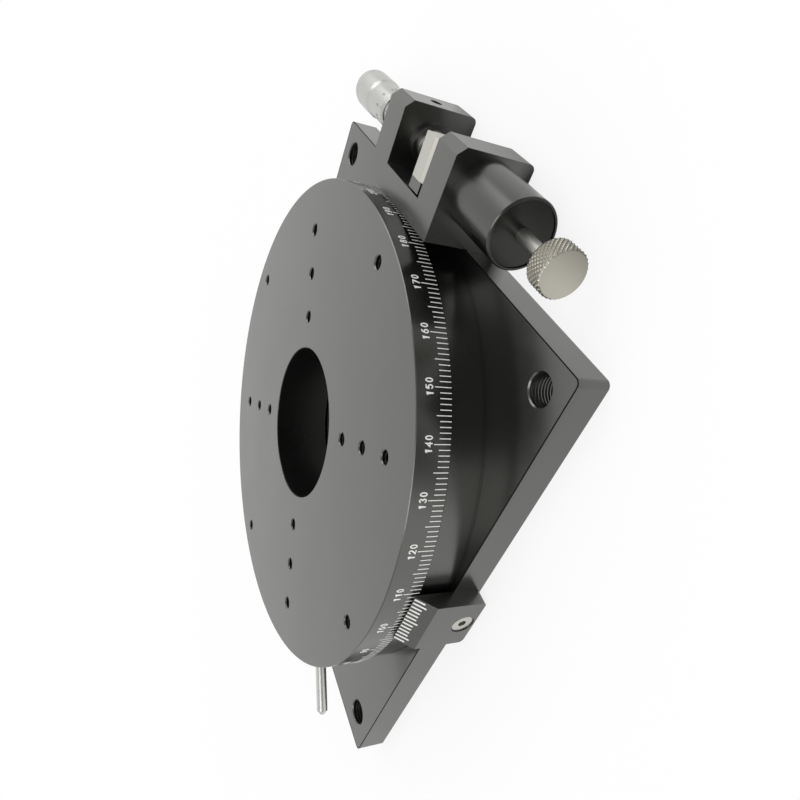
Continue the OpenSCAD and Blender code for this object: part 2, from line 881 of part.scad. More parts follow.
// The vernier block's outline in Y and Z, drawn on the -Y side of the base.
module vernier_outline() {
  polygon([
    [-base_x, vernier_z],
    [-base_x - vernier_t, vernier_z],
    [-base_x - vernier_t, vernier_top - vernier_bevel_h],
    [-table_r - vernier_gap - vernier_edge, vernier_top],
    [-base_x, vernier_top]
  ]);
}

// The vernier block's outline in X and Z, with round lower corners.
module vernier_front() {
  half = vernier_w / 2;
  r = vernier_round;
  translate([-half, vernier_z + r])
    square([vernier_w, vernier_top - vernier_z - r]);
  translate([-half + r, vernier_z])
    square([vernier_w - 2 * r, vernier_round + eps]);
  for (s = [-1, 1])
    translate([s * (half - r), vernier_z + r])
      circle(r = r, $fn = 48);
}

module vernier_block() {
  color("dimgray")
    difference() {
      intersection() {
        translate([-vernier_w / 2, 0, 0])
          rotate([90, 0, 90])
            linear_extrude(height = vernier_w)
              vernier_outline();
        rotate([90, 0, 0])
          linear_extrude(height = base_x + 2 * vernier_t)
            vernier_front();
      }
      disc(table_r + vernier_gap, base_t, vernier_top + eps);
      vernier_screw_place() {
        csk_hole(m3_d, vernier_screw_l());
        disc(m3_d * csk_head_share / 2 + vernier_ring_w, 0, vernier_t);
      }
    }
}

function vernier_screw_l() = vernier_t + vernier_screw_grip - vernier_sink;

// Puts children, drawn along +Z, at the sunk head's face, pointing along -Y.
module vernier_screw_place() {
  translate([0, -base_x - vernier_t + vernier_sink, base_t / 2])
    rotate([90, 0, 0])
      children();
}

module vernier_screw() {
  color("silver")
    vernier_screw_place()
      csk_screw(m3_d, vernier_screw_l() - seat_gap);
}

module clamp_ring() {
  color("dimgray")
    difference() {
      union() {
        disc(clamp_d / 2, ring_z, ring_top);
        disc(collar_d / 2, ring_z, collar_top);
      }
      disc(bush_r + seat_gap, ring_z - eps, collar_top + eps);
      disc(keeper_d / 2 + touch_gap, journal_top - keeper_gap, collar_top + eps);
      disc(collar_d / 2 - collar_wall, ring_top, collar_top + eps);
      translate([arm_start, lever_y - seat_gap, ring_z - eps])
        cube([clamp_d / 2, lever_t + 2 * seat_gap, arm_h + seat_gap + eps]);
      arm_screw_places()
        csk_hole(m2_d, arm_screw_l());
    }
}

module slide_bush() {
  color("darkkhaki")
    ring(bush_r, journal_d / 2 + run_gap, ring_z, journal_top - keeper_gap);
}

function arm_screw_l() = arm_h + arm_screw_grip;

// Puts children at each arm screw, drawn along +Z, with the head in the ring's underside.
module arm_screw_places() {
  for (i = [0, 1])
    translate([arm_start + arm_screw_inset + i * arm_screw_pitch, lever_mid, ring_z])
      rotate([180, 0, 0])
        children();
}

module arm_screws() {
  color("silver")
    arm_screw_places()
      csk_screw(m2_d, arm_screw_l() - seat_gap);
}

module drive_arm() {
  color("dimgray")
    difference() {
      union() {
        translate([arm_start + seat_gap, lever_y, ring_z])
          cube([contact_x - arm_start - seat_gap, lever_t, arm_h]);
        translate([riser_x, lever_y, ring_z])
          cube([riser_t, lever_t, bracket_h - ring_z]);
      }
      arm_screw_places()
        csk_hole(m2_d, arm_screw_l());
      contact_screw_place()
        cap_hole(contact_screw_d, contact_screw_l());
      contact_dowel_place()
        disc(dowel_r + seat_gap, -riser_t - eps, 0);
    }
}

module contact_plate() {
  c = contact_chamfer;
  color("wheat")
    difference() {
      translate([contact_x, lever_y, contact_z])
        rotate([90, 0, 90])
          linear_extrude(height = contact_l)
            polygon([
              [0, 0],
              [lever_t, 0],
              [lever_t, bracket_h - contact_z],
              [c, bracket_h - contact_z],
              [0, bracket_h - contact_z - c]
            ]);
      contact_screw_place()
        cap_hole(contact_screw_d, contact_screw_l());
      contact_dowel_place()
        disc(dowel_r + seat_gap, -eps, dowel_l + seat_gap);
    }
}

function contact_screw_l() = contact_l + riser_t + contact_screw_grip;

// Puts children, drawn along +Z, at the contact plate's screw, with the head outwards.
module contact_screw_place() {
  along_x(contact_end, lever_mid, ring_z + arm_h / 2)
    children();
}

// Puts children, drawn along +Z, at the dowel between the riser and the contact plate.
module contact_dowel_place() {
  along_x(contact_x, lever_mid, bracket_h - dowel_drop)
    children();
}

module contact_screw() {
  color("silver")
    contact_screw_place()
      cap_screw(contact_screw_d, contact_screw_l() - seat_gap);
}

module contact_dowel() {
  color("silver")
    contact_dowel_place()
      disc(dowel_r, -riser_t, dowel_l);
}

// A tapped hole cut down from the table's top face.
module table_hole(depth) {
  translate([0, 0, total_h]) {
    disc(tap_d / 2, -depth, 0);
    frustum(tap_d / 2, tap_d / 2 + tap_mouth + eps, -tap_mouth, eps);
  }
}

// The table's plate and rim with chamfered edges, open below inside the rim.
module table_plate() {
  c = table_chamfer;
  difference() {
    union() {
      disc(table_r, rim_z + c, total_h - c);
      frustum(table_r, table_r - c, total_h - c, total_h);
      frustum(table_r - c, table_r, rim_z, rim_z + c);
    }
    disc(rim_inner_r, rim_z - eps, plate_z);
  }
}

module rotating_table() {
  color("dimgray")
    difference() {
      union() {
        table_plate();
        disc(spigot_shoulder_d / 2, bearing_top, plate_z + eps);
        disc(bearing_id / 2 - seat_gap, spigot_z, plate_z + eps);
      }
      disc(aperture_d / 2, spigot_z - eps, total_h + eps);
      frustum(aperture_d / 2, aperture_d / 2 + aperture_chamfer + eps,
              total_h - aperture_chamfer, total_h + eps);
      around(row_count, 0, row_angle)
        for (i = [0 : row_holes - 1])
          translate([row_r + i * row_pitch, 0, 0])
            table_hole(plate_t + eps);
      around(row_count, outer_hole_r, row_angle + 180 / row_count)
        table_hole(outer_hole_depth);
      rotate([0, 0, lock_angle])
        along_x(0, 0, lock_z)
          disc(lock_d / 2 + seat_gap, collar_d / 2, table_r + eps);
      around(ring_screws, inner_screw_r)
        translate([0, 0, spigot_z - retainer_t])
          rotate([180, 0, 0])
            csk_hole(m2_d, ring_screw_l());
    }
}

module inner_retainer() {
  color("dimgray")
    difference() {
      ring(spigot_shoulder_d / 2, base_bore_d / 2, spigot_z - retainer_t, spigot_z);
      around(ring_screws, inner_screw_r)
        translate([0, 0, spigot_z - retainer_t])
          rotate([180, 0, 0])
            csk_hole(m2_d, ring_screw_l());
    }
}

module inner_retainer_screws() {
  color("silver")
    around(ring_screws, inner_screw_r)
      translate([0, 0, spigot_z - retainer_t])
        rotate([180, 0, 0])
          csk_screw(m2_d, ring_screw_l() - seat_gap);
}

module lock_pad() {
  color("gold")
    rotate([0, 0, lock_angle])
      along_x(0, 0, lock_z)
        disc(lock_d / 2 - run_gap, collar_d / 2 + touch_gap, lock_start_r);
}

// A plain rod with a cone at its outer end, threaded into the rim.
module lock_screw() {
  cone_l = lock_d / 3;
  color("silver")
    rotate([0, 0, lock_angle])
      along_x(0, 0, lock_z) {
        disc(lock_d / 2, lock_start_r + seat_gap, lock_end_r - cone_l);
        frustum(lock_d / 2, lock_d / 5, lock_end_r - cone_l, lock_end_r);
      }
}

base_plate();
stator_hub();
hub_screws();
bearing_outer_race();
outer_retainer();
outer_retainer_screws();
thrust_washer();
keeper_ring();
keeper_screws();
drive_bracket();
bracket_screws();
micrometer_sleeve();
micrometer_nut();
micrometer_set_screw();
plunger_housing();
plunger_cap();
plunger_spring();
vernier_block();
vernier_screw();
clamp_ring();
slide_bush();
drive_arm();
arm_screws();
contact_plate();
contact_screw();
contact_dowel();
rotating_table();
bearing_inner_race();
inner_retainer();
inner_retainer_screws();
lock_pad();
lock_screw();
bearing_cage();
bearing_balls();
micrometer_spindle();
spindle_tip();
micrometer_thimble();
thimble_cap();
plunger_pin();
plunger_knob();
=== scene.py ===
import math

import bmesh
import bpy
from mathutils import Matrix, Vector


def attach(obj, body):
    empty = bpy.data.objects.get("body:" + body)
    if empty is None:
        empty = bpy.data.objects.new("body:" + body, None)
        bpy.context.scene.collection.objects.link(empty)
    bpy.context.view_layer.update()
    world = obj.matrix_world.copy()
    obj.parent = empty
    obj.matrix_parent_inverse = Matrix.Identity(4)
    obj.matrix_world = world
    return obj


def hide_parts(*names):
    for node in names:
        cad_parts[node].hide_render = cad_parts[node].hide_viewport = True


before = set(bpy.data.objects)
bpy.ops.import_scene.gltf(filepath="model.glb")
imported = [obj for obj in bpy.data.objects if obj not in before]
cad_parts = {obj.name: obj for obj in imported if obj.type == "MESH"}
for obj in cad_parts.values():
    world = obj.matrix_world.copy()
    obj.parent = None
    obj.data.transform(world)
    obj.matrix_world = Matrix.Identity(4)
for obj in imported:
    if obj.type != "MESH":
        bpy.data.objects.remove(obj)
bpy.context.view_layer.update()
MM = 0.001

# Sizes repeated from part.scad, in millimetres and degrees.
TABLE_R = 70.0
TOTAL_H = 26.0
DRIVE_X = 83.2
DRIVE_Z = 10.0
THIMBLE_Y = 34.3
SCALE_ZERO = -193.26  # direction of the rim's zero line at rest
MOUNT_AT = 62.0
MOUNT_R = 3.5
TAP_R = 1.7
ROW_ANGLE = -57.6
ROW_R = 31.5
ROW_PITCH = 12.5
OUTER_HOLE_R = 62.5
BASE_HALF = 70.0
BASE_ROUND = 1.5
BASE_TOP = 8.0


# ---------------------------------------------------------------- shader nodes

def new_material(name):
    mat = bpy.data.materials.new(name)
    mat.use_nodes = True
    tree = mat.node_tree
    return mat, tree, tree.nodes["Principled BSDF"]


def add(tree, kind, **attributes):
    n = tree.nodes.new(kind)
    for key, value in attributes.items():
        setattr(n, key, value)
    return n


def plug(tree, value, socket):
    """Link a socket, or set a constant on the socket itself."""
    if isinstance(value, bpy.types.NodeSocket):
        tree.links.new(value, socket)
    else:
        socket.default_value = value


def calc(tree, operation, *values):
    """The result of a math node. Each value is a socket or a number."""
    n = add(tree, "ShaderNodeMath", operation=operation)
    for value, socket in zip(values, n.inputs):
        plug(tree, value, socket)
    return n.outputs[0]


def vector_calc(tree, operation, *values, out="Vector"):
    """The result of a vector math node. Each value is a socket or three numbers."""
    n = add(tree, "ShaderNodeVectorMath", operation=operation)
    for value, socket in zip(values, n.inputs):
        plug(tree, value, socket)
    return n.outputs[out]


def object_coords(tree):
    return add(tree, "ShaderNodeTexCoord").outputs["Object"]


def noise(tree, vec, scale, detail=2.0, rough=0.5):
    n = add(tree, "ShaderNodeTexNoise")
    n.inputs["Scale"].default_value = scale
    n.inputs["Detail"].default_value = detail
    n.inputs["Roughness"].default_value = rough
    tree.links.new(vec, n.inputs["Vector"])
    return n.outputs["Fac"]


def remap(tree, fac, lo, hi, a=0.0, b=1.0):
    """fac from a to b becomes lo to hi, and stays there outside."""
    n = add(tree, "ShaderNodeMapRange")
    n.inputs["From Min"].default_value = a
    n.inputs["From Max"].default_value = b
    n.inputs["To Min"].default_value = lo
    n.inputs["To Max"].default_value = hi
    tree.links.new(fac, n.inputs["Value"])
    return n.outputs["Result"]


def shades(tree, fac, colour, low, high):
    """The colour, low to high times as bright as fac goes from 0 to 1."""
    n = add(tree, "ShaderNodeMix", data_type="RGBA")
    n.inputs["A"].default_value = (*(c * low for c in colour), 1)
    n.inputs["B"].default_value = (*(min(1, c * high) for c in colour), 1)
    tree.links.new(fac, n.inputs["Factor"])
    return n.outputs["Result"]


def bump(tree, bsdf, height, strength, distance, normal=None):
    n = add(tree, "ShaderNodeBump")
    n.inputs["Strength"].default_value = strength
    n.inputs["Distance"].default_value = distance * MM
    tree.links.new(height, n.inputs["Height"])
    if normal is not None:
        tree.links.new(normal, n.inputs["Normal"])
    tree.links.new(n.outputs["Normal"], bsdf.inputs["Normal"])
    return n.outputs["Normal"]


def from_axis(tree, centre, axis):
    """The offset from a centre, and the distance from the axis through it."""
    off = vector_calc(tree, "SUBTRACT", object_coords(tree), tuple(c * MM for c in centre))
    across = vector_calc(tree, "MULTIPLY", off, tuple(0.0 if a else 1.0 for a in axis))
    return off, vector_calc(tree, "LENGTH", across, out="Value")


def ring_waves(tree, centre, axis, pitch):
    """Fine turning marks: rings round an axis, on faces across it and along it alike."""
    off, radius = from_axis(tree, centre, axis)
    along = vector_calc(tree, "DOT_PRODUCT", off, axis, out="Value")
    jitter = noise(tree, object_coords(tree), 60.0)
    cone = calc(tree, "ADD", radius, along)
    shaken = calc(tree, "MULTIPLY_ADD", jitter, pitch * MM * 1.5, cone)
    return calc(tree, "SINE", calc(tree, "MULTIPLY", shaken, 2 * math.pi / (pitch * MM)))


def edge_round(tree, radius):
    n = add(tree, "ShaderNodeBevel", samples=4)
    n.inputs["Radius"].default_value = radius * MM
    return n.outputs["Normal"]


# ---------------------------------------------------------------- materials

Z_AXIS = (0, 0, 1)
Y_AXIS = (0, 1, 0)
MIDDLE = (0, 0, 0)
DRIVE = (DRIVE_X, 0, DRIVE_Z)
ANODISED_COLOUR = (0.004, 0.004, 0.004)
BLOTCH = (0.3, 0.7)  # the part of the cloud's range that makes the gloss uneven
BUMP_H = 0.02
WAVE_H = 0.01


def anodised(name, rough=0.24, centre=None, axis=Z_AXIS, ior=2.1):
    """Fine blasted black anodising, with turning marks under it where a centre is given."""
    mat, tree, bsdf = new_material(name)
    vec = object_coords(tree)
    cloud = noise(tree, vec, 45.0, 3.0)
    tree.links.new(shades(tree, cloud, ANODISED_COLOUR, 0.7, 1.3), bsdf.inputs["Base Color"])
    gloss = remap(tree, cloud, rough - 0.03, rough + 0.03, *BLOTCH)
    tree.links.new(gloss, bsdf.inputs["Roughness"])
    bsdf.inputs["IOR"].default_value = ior
    bsdf.inputs["Specular Tint"].default_value = (1.0, 1.0, 0.95, 1)
    grain = noise(tree, vec, 3500.0, 2.0, 0.6)
    normal = bump(tree, bsdf, grain, 0.10, BUMP_H, edge_round(tree, 0.1))
    if centre is not None:
        bump(tree, bsdf, ring_waves(tree, centre, axis, 0.16), 0.05, WAVE_H, normal)
    return mat


def metal(name, colour, rough, centre=None, axis=Z_AXIS, groove_shade=None):
    """Bare or plated metal, with a fine grain and slightly uneven gloss. groove_shade is the pair
    of radii round the drive axis between which the colour darkens as painted shade in the
    grooves' bottoms, and how dark it is at the lower one."""
    mat, tree, bsdf = new_material(name)
    vec = object_coords(tree)
    cloud = noise(tree, vec, 120.0, 3.0)
    base = shades(tree, cloud, colour, 0.94, 1.05)
    if groove_shade is not None:
        low, high, dark = groove_shade
        # Painted shade: the colour darkens towards the bottoms of the grooves.
        shade = remap(tree, from_axis(tree, DRIVE, Y_AXIS)[1], dark, 1.0, low * MM, high * MM)
        deep = add(tree, "ShaderNodeVectorMath", operation="SCALE")
        tree.links.new(base, deep.inputs[0])
        tree.links.new(shade, deep.inputs["Scale"])
        base = deep.outputs[0]
    tree.links.new(base, bsdf.inputs["Base Color"])
    bsdf.inputs["Metallic"].default_value = 1.0
    gloss = remap(tree, cloud, rough - 0.04, rough + 0.05, *BLOTCH)
    tree.links.new(gloss, bsdf.inputs["Roughness"])
    normal = bump(tree, bsdf, noise(tree, vec, 900.0), 0.12, BUMP_H, edge_round(tree, 0.08))
    if centre is not None:
        bump(tree, bsdf, ring_waves(tree, centre, axis, 0.12), 0.10, WAVE_H, normal)
    return mat


def plain(name, colour, rough, scale=300.0, strength=0.1):
    """Plastic or paint, with a faint cloud."""
    mat, tree, bsdf = new_material(name)
    vec = object_coords(tree)
    cloud = noise(tree, vec, scale)
    tree.links.new(shades(tree, cloud, colour, 0.92, 1.04), bsdf.inputs["Base Color"])
    bsdf.inputs["Roughness"].default_value = rough
    bump(tree, bsdf, noise(tree, vec, scale * 6), strength, BUMP_H)
    return mat


MATS = {
    "turned": anodised("black_turned", centre=MIDDLE),
    "milled": anodised("black_milled"),
    "housing": anodised("black_housing", centre=DRIVE, axis=Y_AXIS, ior=1.8),
    # The cap's face and the pin's bush get a duller copy of the anodising: painted shade for the
    # shadowed floor the cap reflects.
    "cap_face": anodised("black_cap_painted_shade", centre=DRIVE, axis=Y_AXIS, ior=1.5),
    # A duller copy of the anodising for the bore linings: painted shade.
    "bore": anodised("black_bore_painted_shade", rough=0.3, ior=1.5),
    "thread": anodised("black_thread", rough=0.45, ior=1.3),
    # A dull, near-black copy for the band on the base's edge: painted shade.
    "arris": anodised("black_edge_painted_shade", rough=0.5, ior=1.15),
    "screw": metal("stainless", (0.55, 0.54, 0.50), 0.34),
    "black_screw": metal("black_oxide", (0.05, 0.05, 0.052), 0.4),
    "race": metal("bearing_steel", (0.62, 0.62, 0.62), 0.16, centre=MIDDLE),
    "chrome": metal("satin_chrome", (0.52, 0.52, 0.50), 0.36, centre=DRIVE, axis=Y_AXIS),
    "knob": metal("plated_knob", (0.53, 0.51, 0.44), 0.34, centre=DRIVE, axis=Y_AXIS),
    "rod": metal("plated_rod", (0.58, 0.58, 0.56), 0.3),
    "plate": metal("nickel_plate", (0.54, 0.53, 0.48), 0.42),
    "pin": metal("plated_pin", (0.52, 0.515, 0.48), 0.42),
    # The knurled band's plating is darker than the knob's own, and darkens further into its
    # grooves: painted shade.
    "knurl": metal("knurled_band_painted_shade", (0.42, 0.40, 0.34), 0.34, groove_shade=(5.0, 5.36, 0.12)),
    "tip": metal("carbide", (0.30, 0.30, 0.32), 0.2),
    "spring": metal("spring_wire", (0.5, 0.5, 0.5), 0.3),
    "brass": metal("brass", (0.72, 0.55, 0.25), 0.3),
    "bronze": metal("bronze", (0.55, 0.38, 0.2), 0.45),
    "ptfe": plain("ptfe", (0.85, 0.85, 0.83), 0.6),
    "cage": plain("cage_polymer", (0.42, 0.33, 0.2), 0.55),
    "paint": plain("white_fill", (0.95, 0.95, 0.92), 0.55, 800.0, 0.05),
    "dark_fill": plain("grey_fill", (0.12, 0.12, 0.12), 0.5, 800.0, 0.05),
}

NODE_MATS = {
    "base_plate": "milled", "stator_hub": "turned", "hub_screws": "screw",
    "bearing_outer_race": "race", "outer_retainer": "turned", "outer_retainer_screws": "screw",
    "thrust_washer": "ptfe", "keeper_ring": "turned", "keeper_screws": "screw",
    "drive_bracket": "milled", "bracket_screws": "black_screw", "micrometer_sleeve": "chrome",
    "micrometer_nut": "milled", "micrometer_set_screw": "black_screw",
    "plunger_housing": "housing", "plunger_cap": "cap_face", "plunger_spring": "spring",
    "vernier_block": "milled", "vernier_screw": "screw",
    "clamp_ring": "turned", "slide_bush": "bronze", "drive_arm": "milled", "arm_screws": "screw",
    "contact_plate": "plate", "contact_screw": "screw", "contact_dowel": "race",
    "rotating_table": "turned", "bearing_inner_race": "race", "inner_retainer": "turned",
    "inner_retainer_screws": "screw", "lock_pad": "brass", "lock_screw": "rod",
    "bearing_cage": "cage", "bearing_balls": "race",
    "micrometer_spindle": "rod", "spindle_tip": "tip",
    "micrometer_thimble": "chrome", "thimble_cap": "chrome",
    "plunger_pin": "pin", "plunger_knob": "knob",
}
for node_name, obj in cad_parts.items():
    obj.data.materials.clear()
    obj.data.materials.append(MATS[NODE_MATS[node_name]])


# ---------------------------------------------------------------- mesh helpers

SHARP_ANGLE = math.radians(35)


def add_object(name, data):
    obj = bpy.data.objects.new(name, data)
    bpy.context.scene.collection.objects.link(obj)
    return obj


def piece_from(bm, name, body, mat, smooth=False):
    mesh = bpy.data.meshes.new(name)
    bmesh.ops.recalc_face_normals(bm, faces=bm.faces)
    for f in bm.faces:
        f.smooth = smooth
    bm.to_mesh(mesh)
    bm.free()
    obj = add_object(name, mesh)
    if smooth:
        mesh.set_sharp_from_angle(angle=SHARP_ANGLE)
    mesh.materials.append(MATS[mat])
    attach(obj, body)
    return obj


def circle(n):
    return [2 * math.pi * i / n for i in range(n)]


def verts(bm, points):
    return [bm.verts.new(p) for p in points]


def wall(bm, a, b):
    """Faces between two closed rings of as many vertices."""
    n = len(a)
    for i in range(n):
        bm.faces.new((a[i], a[(i + 1) % n], b[(i + 1) % n], b[i]))


def loft(bm, rows, closed=False):
    """Walls from each row of vertices to the next, with ends unless it closes on itself."""
    for a, b in zip(rows, rows[1:]):
        wall(bm, a, b)
    if closed:
        wall(bm, rows[-1], rows[0])
    else:
        bm.faces.new(rows[0][::-1])
        bm.faces.new(rows[-1])


def slab(bm, corners, mapper, depth, steps=1):
    """A closed slab: two corners (u, v), split along u, mapped to a surface and given a depth."""
    (u0, v0), (u1, v1) = corners
    section = ((v0, 0), (v1, 0), (v1, depth), (v0, depth))
    loft(bm, [verts(bm, [mapper(u0 + (u1 - u0) * i / steps, v, d) for v, d in section])
              for i in range(steps + 1)])


def arc(cx, cy, rx, ry, a0, a1, n=10):
    angles = [math.radians(a0 + (a1 - a0) * i / n) for i in range(n + 1)]
    return [(cx + rx * math.cos(a), cy + ry * math.sin(a)) for a in angles]


# Strokes of the digits on a grid 4 wide and 6 high, as closed or open lines.
DIGITS = {
    "0": [arc(2, 3, 1.7, 3, 0, 360, 24)],
    "1": [[(0.9, 4.9), (2.2, 6.0), (2.2, 0.0)]],
    "2": [arc(2, 4.4, 1.7, 1.6, 160, -40, 12) + [(0.3, 0.0), (3.7, 0.0)]],
    "3": [arc(2, 4.55, 1.5, 1.45, 150, -90, 12) + arc(2, 1.55, 1.7, 1.55, 90, -150, 14)],
    "4": [[(2.9, 0.0), (2.9, 6.0), (0.2, 1.7), (3.8, 1.7)]],
    "5": [[(3.4, 6.0), (0.9, 6.0), (0.6, 3.4)] + arc(1.95, 2.0, 1.75, 1.95, 130, -145, 14)],
    "6": [arc(2, 1.95, 1.65, 1.95, 0, 360, 20), arc(3.4, 2.0, 3.05, 4.0, 180, 95, 10)],
    "7": [[(0.3, 6.0), (3.7, 6.0), (1.5, 0.0)]],
    "8": [arc(2, 4.5, 1.45, 1.5, 0, 360, 18), arc(2, 1.5, 1.7, 1.5, 0, 360, 18)],
    "9": [arc(2, 4.05, 1.65, 1.95, 0, 360, 20), arc(0.6, 4.0, 3.05, 4.0, 0, -85, 10)],
}
GRID_H = 6
DIGIT_SQUEEZE = 0.8  # the digits are drawn this much narrower than the grid
DIGIT_W = 3.2  # their width on the grid then
DIGIT_STEP = 0.88  # from digit to digit, as a share of their height
MITRE_LIMIT = 0.5


def stroke(bm, line, width, mapper, depth):
    """A closed ribbon of the given width along a line of (u, v) points."""
    closed = math.dist(line[0], line[-1]) < 1e-6
    pts = line[:-1] if closed else line
    n = len(pts)
    rows = []
    for i, (u, v) in enumerate(pts):
        inner = closed or 0 < i < n - 1
        a = pts[i - 1] if (closed or i) else pts[i]
        b = pts[(i + 1) % n] if (closed or i < n - 1) else pts[i]
        du, dv = b[0] - a[0], b[1] - a[1]
        norm = math.hypot(du, dv)
        du, dv = du / norm, dv / norm
        half = width / 2
        if inner:
            before = math.atan2(v - a[1], u - a[0])
            after = math.atan2(b[1] - v, b[0] - u)
            half /= max(MITRE_LIMIT, abs(math.cos((after - before) / 2)))
        else:
            sign = -1 if i == 0 else 1
            u, v = u + sign * du * half, v + sign * dv * half
        left = (u - dv * half, v + du * half)
        right = (u + dv * half, v - du * half)
        rows.append(verts(bm, [mapper(*left, 0), mapper(*right, 0),
                               mapper(*right, depth), mapper(*left, depth)]))
    loft(bm, rows, closed)


def number(bm, text, u_mid, v_low, height, width, mapper, depth):
    """A number centred on u_mid, its strokes as wide as width."""
    s = height / GRID_H
    step = DIGIT_STEP * height
    u = u_mid - step * len(text) / 2 + (step - DIGIT_W * s) / 2
    for ch in text:
        for line in DIGITS[ch]:
            line = [(u + x * s * DIGIT_SQUEEZE, v_low + y * s) for x, y in line]
            stroke(bm, line, width, mapper, depth)
        u += step


# ---------------------------------------------------------------- rim scale

INK = 0.03  # how far the filled engraving stands out, in millimetres
SINK = 0.06  # and how far it goes in
DEPTH = SINK + INK

TICK_LOW = 17.25
TICK_TOPS = ((10, 21.4), (5, 21.0), (1, 20.1))  # every so many degrees, the height reached
TICK_HALF = 0.1
RIM_NUMBER = (21.92, 1.62, 0.29)  # lower edge, height and stroke width


def on_rim(u, v, d):
    """u is millimetres round the rim from the zero line, v the height, d the depth."""
    a = math.radians(SCALE_ZERO) + u / TABLE_R
    r = (TABLE_R - SINK + d) * MM
    return (r * math.cos(a), r * math.sin(a), v * MM)


deg = math.radians(1) * TABLE_R
bm = bmesh.new()
for i in range(360):
    top = next(height for every, height in TICK_TOPS if i % every == 0)
    slab(bm, ((i * deg - TICK_HALF, TICK_LOW), (i * deg + TICK_HALF, top)), on_rim, DEPTH)
piece_from(bm, "rim_ticks", "table", "paint")
bm = bmesh.new()
for i in range(0, 360, 10):
    number(bm, str(i), i * deg, *RIM_NUMBER, on_rim, DEPTH)
piece_from(bm, "rim_numbers", "table", "paint")

# ---------------------------------------------------------------- vernier lines

V_OUT = (-74.2, 14.2)  # the bevel's lower edge, as (y, z)
V_IN = (-70.55, 18.6)  # and its upper edge
V_LINES = 13
V_LONG = (1, 6, 11)
V_PITCH = 1.0  # degrees
V_HALF = 0.23
V_LONG_SHARE = 0.6
V_SHORT_SHARE = 0.47
slope = math.dist(V_OUT, V_IN)


def on_bevel(u, v, d):
    """u is millimetres along X, v millimetres down the bevel from its top edge."""
    t = v / slope
    y = V_IN[0] + (V_OUT[0] - V_IN[0]) * t
    z = V_IN[1] + (V_OUT[1] - V_IN[1]) * t
    ny, nz = -(V_IN[1] - V_OUT[1]) / slope, (V_IN[0] - V_OUT[0]) / slope
    k = d - SINK
    return (u * MM, (y + ny * k) * MM, (z + nz * k) * MM)


bm = bmesh.new()
for i in range(V_LINES):
    x = TABLE_R * math.sin(math.radians(V_PITCH * (i - V_LINES // 2)))
    reach = slope * (V_LONG_SHARE if i in V_LONG else V_SHORT_SHARE)
    slab(bm, ((x - V_HALF, 0.0), (x + V_HALF, reach)), on_bevel, DEPTH)
piece_from(bm, "vernier_lines", "base", "paint")

# ---------------------------------------------------------------- threads in the holes

THREAD_DEPTH = 0.22
THREAD_PITCH = 0.8
RIDGE_HALF = 0.3
RIDGE_LAP = 0.02  # how far the ridge's foot goes into the wall
TOP_GAP = 0.7  # the thread starts this far below the hole's mouth
ROW_DEEP = 3.1  # and goes down to here in the rows of holes
OUTER_DEEP = 4.7  # and to here in the four outer ones


def thread(bm, x, y, r, z0, z1, sides):
    """One closed helical V ridge inside a vertical hole."""
    section = ((r + RIDGE_LAP, -RIDGE_HALF), (r - THREAD_DEPTH, 0.0), (r + RIDGE_LAP, RIDGE_HALF))
    rows = []
    for i in range(round((z1 - z0) / THREAD_PITCH * sides) + 1):
        a = 2 * math.pi * i / sides
        z = z0 + THREAD_PITCH * i / sides
        rows.append(verts(bm, [((x + rr * math.cos(a)) * MM, (y + rr * math.sin(a)) * MM,
                                (z + dz) * MM) for rr, dz in section]))
    loft(bm, rows)


bm = bmesh.new()
for sx in (-1, 1):
    for sy in (-1, 1):
        thread(bm, sx * MOUNT_AT, sy * MOUNT_AT, MOUNT_R, TOP_GAP, BASE_TOP - TOP_GAP, 40)
piece_from(bm, "mount_threads", "base", "thread")
bm = bmesh.new()
for k in range(4):
    row = math.radians(ROW_ANGLE + 90 * k)
    holes = [(ROW_R + ROW_PITCH * i, row, ROW_DEEP) for i in range(3)]
    holes.append((OUTER_HOLE_R, row + math.pi / 4, OUTER_DEEP))
    for r, a, deep in holes:
        thread(bm, r * math.cos(a), r * math.sin(a), TAP_R, TOTAL_H - deep, TOTAL_H - TOP_GAP, 24)
piece_from(bm, "table_threads", "table", "thread")


# ---------------------------------------------------------------- bands, and painted shade on the base's arris

def band(name, body, mat, r_in, r_out, z_low, z_high, sides=192):
    """A thin closed ring about the table's axis."""
    bm = bmesh.new()
    section = ((r_out, z_high), (r_in, z_high), (r_in, z_low), (r_out, z_low))
    loft(bm, [verts(bm, [(r * math.cos(a) * MM, r * math.sin(a) * MM, z * MM)
                         for a in circle(sides)]) for r, z in section], closed=True)
    piece_from(bm, name, body, mat, smooth=True)


# The aperture's and the base's bore walls get a thin lining in a duller copy of the anodising:
# painted shade that keeps the bore dark. The clamp ring has a lip down to the base.
band("aperture_liner", "table", "bore", 22.38, 22.49, 9.1, 25.7)
band("bore_liner", "base", "bore", 22.88, 22.99, 0.3, 7.9)
band("ring_lip", "fine_ring", "turned", 68.3, 68.9, 8.03, 8.62)

